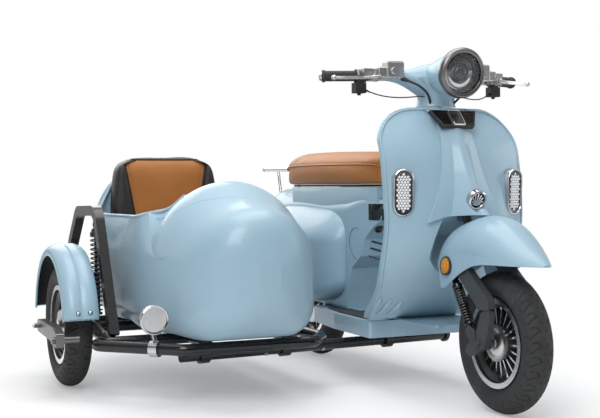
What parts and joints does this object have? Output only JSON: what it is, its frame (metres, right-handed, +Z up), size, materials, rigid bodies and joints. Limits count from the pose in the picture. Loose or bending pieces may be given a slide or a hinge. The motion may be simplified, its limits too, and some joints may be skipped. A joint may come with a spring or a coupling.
{
  "type": "motor scooter with sidecar",
  "caption": "Step-through motor scooter with a rounded single-seat sidecar on a tube frame, spoked small wheels and a hinged seat",
  "frame": {"origin": "on the ground under the middle of the whole vehicle's length and width", "axes": "+Z up, -Y forward, +X to the rider's left; the sidecar is on the rider's right"},
  "size_m": [1.6047, 2.02, 1.1289],
  "materials": {
    "blue": "gloss light blue",
    "black": "gloss black",
    "casting": "satin dark grey casting",
    "tyre": "matt rubber",
    "rubber": "matt rubber",
    "wheel": "black with machined silver edges",
    "silver": "brushed",
    "chrome": "polished",
    "tan": "tan leatherette",
    "clear": "clear lens",
    "amber": "amber reflector",
    "red": "red lens",
    "plastic": "black moulding"
  },
  "bodies": {
    "chassis": {"badge_plate": "silver", "battery_box": "plastic", "belly_pan": "plastic", "cowl_left": "blue", "cowl_right": "blue", "floor_mat": "rubber", "floorboard": "blue", "front_cover": "blue", "horn_grille": "chrome", "inner_shield": "blue", "leg_shield": "blue", "nose_keel": "blue", "plate_bracket": "plastic", "rear_body": "blue", "rear_rack": "chrome", "rear_shocks": "black", "rear_swingarm": "black", "scooter_frame": "black", "sidecar_arm": "silver", "sidecar_backrest": "tan", "sidecar_body": "blue", "sidecar_cushion": "tan", "sidecar_frame": "black", "sidecar_hoop": "black", "sidecar_lamp": "chrome", "sidecar_lamp_lens": "clear", "sidecar_mudguard": "blue", "sidecar_shock": "black", "signal_left": "chrome", "signal_right": "chrome", "storage_bucket": "plastic", "tail_lamp": "red", "tie_tube": "black"},
    "steering": {"fork": "casting", "front_links": "casting", "front_mudguard": "blue", "reflectors": "amber", "front_shocks": "black", "brake_hose_left": "rubber", "brake_hose_right": "rubber", "switch_cable_left": "rubber", "switch_cable_right": "rubber", "headset": "blue", "handlebar": "black", "headlight_bowl": "chrome", "headlight_lens": "clear", "grip_left": "rubber", "grip_right": "rubber", "brake_control_left": "silver", "brake_control_right": "silver"},
    "front_wheel": {"front_tyre": "tyre", "front_rim": "wheel", "front_hub": "silver"},
    "rear_wheel": {"rear_tyre": "tyre", "rear_rim": "wheel", "rear_hub_motor": "silver"},
    "sidecar_wheel": {"sidecar_tyre": "tyre", "sidecar_rim": "wheel"},
    "seat": {"seat_cushion": "tan", "seat_base": "plastic"}
  },
  "joints": [
    {"name": "steering_head", "type": "hinge", "parent": "chassis", "child": "steering", "pos_m": [0.414, -0.53059, 0.7], "axis": [0, 0.4384, 0.8988], "range_deg": [-30, 30]},
    {"name": "front_axle_spin", "type": "hinge", "parent": "steering", "child": "front_wheel", "pos_m": [0.414, -0.792, 0.216], "axis": [1, 0, 0], "continuous": true},
    {"name": "rear_axle_spin", "type": "hinge", "parent": "chassis", "child": "rear_wheel", "pos_m": [0.414, 0.555, 0.216], "axis": [1, 0, 0], "continuous": true},
    {"name": "sidecar_axle_spin", "type": "hinge", "parent": "chassis", "child": "sidecar_wheel", "pos_m": [-0.683, 0.265, 0.216], "axis": [1, 0, 0], "continuous": true},
    {"name": "seat_hinge", "type": "hinge", "parent": "chassis", "child": "seat", "pos_m": [0.414, -0.135, 0.69], "axis": [1, 0, 0], "range_deg": [0, 70]}
  ]
}
